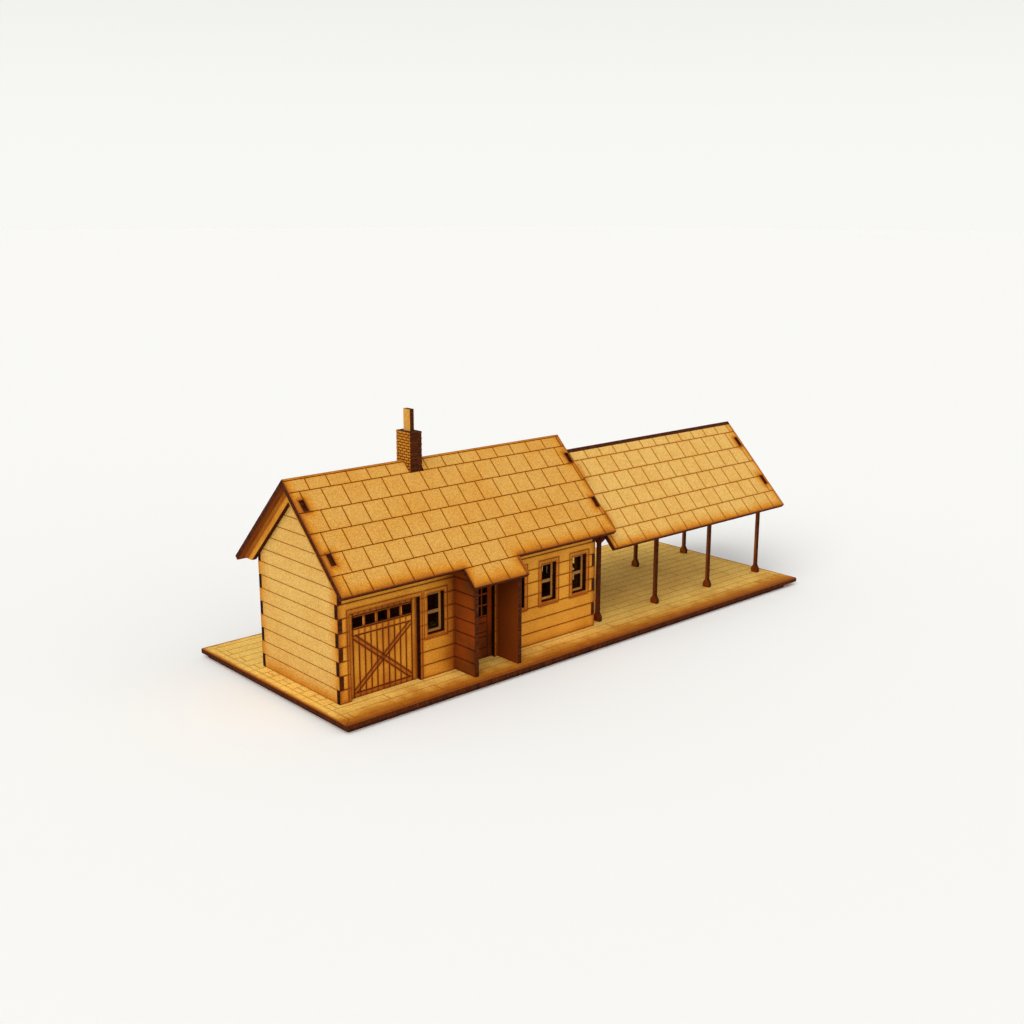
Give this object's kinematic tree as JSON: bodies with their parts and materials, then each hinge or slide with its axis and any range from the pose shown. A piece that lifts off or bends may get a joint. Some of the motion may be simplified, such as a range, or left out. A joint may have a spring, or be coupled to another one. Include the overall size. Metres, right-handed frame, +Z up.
{
  "type": "railway station building scale model",
  "caption": "Unpainted laser-cut MDF scale model of a small railway station: gabled hall with freight door, porch and chimney, open platform canopy, on a planked platform deck",
  "frame": {"origin": "middle of the base, on its underside", "axes": "+X along the building from the freight door end to the canopy end, +Y from the porch side to the back, +Z up"},
  "size_m": [0.28, 0.109, 0.109],
  "materials": {
    "mdf_wall": "bare MDF sheet with engraved siding and charred laser-cut edges",
    "mdf_roof": "bare MDF sheet engraved with staggered roof tiles",
    "mdf_deck": "bare MDF sheet engraved with planking and a mitred border",
    "mdf_insert": "bare MDF sheet engraved with boards, rails and braces",
    "mdf_brick": "bare MDF engraved with brickwork, toasted darker by the laser",
    "mdf_frame": "slender laser-cut MDF, mostly charred edges",
    "mdf_plinth": "bare MDF with charred edges"
  },
  "bodies": {
    "root": {"deck_plate": "mdf_deck", "plinth_plate": "mdf_plinth", "front_wall": "mdf_wall", "back_wall": "mdf_wall", "left_gable_wall": "mdf_wall", "right_gable_wall": "mdf_wall", "freight_door": "mdf_insert", "porch_door": "mdf_insert", "front_window_1": "mdf_insert", "front_window_2": "mdf_insert", "front_window_3": "mdf_insert", "front_window_4": "mdf_insert", "back_freight_door": "mdf_insert", "back_door": "mdf_insert", "back_window_1": "mdf_insert", "back_window_2": "mdf_insert", "back_window_3": "mdf_insert", "back_window_4": "mdf_insert", "gable_door": "mdf_insert", "gable_window_front": "mdf_insert", "gable_window_back": "mdf_insert", "porch_left_wall": "mdf_wall", "porch_right_wall": "mdf_wall", "roof_front": "mdf_roof", "roof_back": "mdf_roof", "left_verge_board": "mdf_frame", "right_verge_board": "mdf_frame", "chimney_left_layer": "mdf_brick", "chimney_flue_layer": "mdf_brick", "chimney_right_layer": "mdf_brick", "canopy_roof_front": "mdf_roof", "canopy_roof_back": "mdf_roof", "canopy_frame_1": "mdf_frame", "canopy_frame_2": "mdf_frame", "canopy_frame_3": "mdf_frame", "canopy_frame_4": "mdf_frame"}
  },
  "joints": []
}
